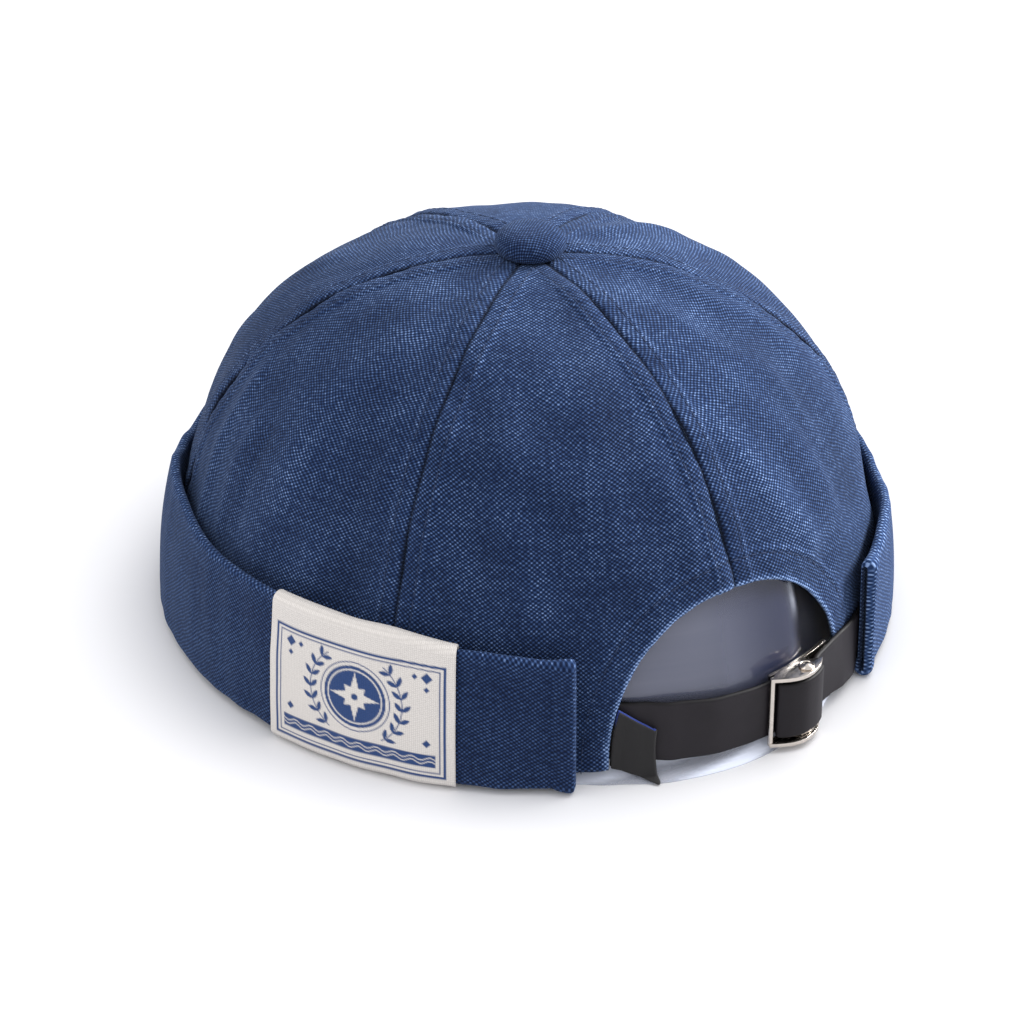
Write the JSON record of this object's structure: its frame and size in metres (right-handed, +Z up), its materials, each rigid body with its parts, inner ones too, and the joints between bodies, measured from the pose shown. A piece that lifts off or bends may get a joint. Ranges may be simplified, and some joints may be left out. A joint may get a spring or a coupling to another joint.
{
  "type": "docker hat",
  "caption": "Brimless docker hat: domed canvas crown, turned-up cuff with a woven label, arched rear opening with a leather adjuster strap and clamp buckle, and a clear shaping insert.",
  "frame": {"origin": "on the surface that the hat stands on, under the middle of its box", "axes": "+Y towards the back of the head, where the opening is; +X towards the wearer's left; +Z up"},
  "size_m": [0.1926, 0.2039, 0.1091],
  "materials": {
    "canvas": "matt, coarse plain weave",
    "label": "matt, fine weave",
    "ribbon": "matt, fine weave",
    "leather": "smooth, soft sheen",
    "clear_plastic": "clear, glossy",
    "nickel": "polished nickel"
  },
  "bodies": {
    "root": {"panel_back_left": "canvas", "panel_left": "canvas", "panel_front_left": "canvas", "panel_front_right": "canvas", "panel_right": "canvas", "panel_back_right": "canvas", "top_button": "canvas", "cuff": "canvas", "woven_label": "label", "strap_left": "leather", "strap_right": "leather", "side_tag": "ribbon", "shaping_insert": "clear_plastic", "buckle_base": "nickel", "buckle_frame": "nickel", "buckle_pin": "nickel"}
  },
  "joints": []
}
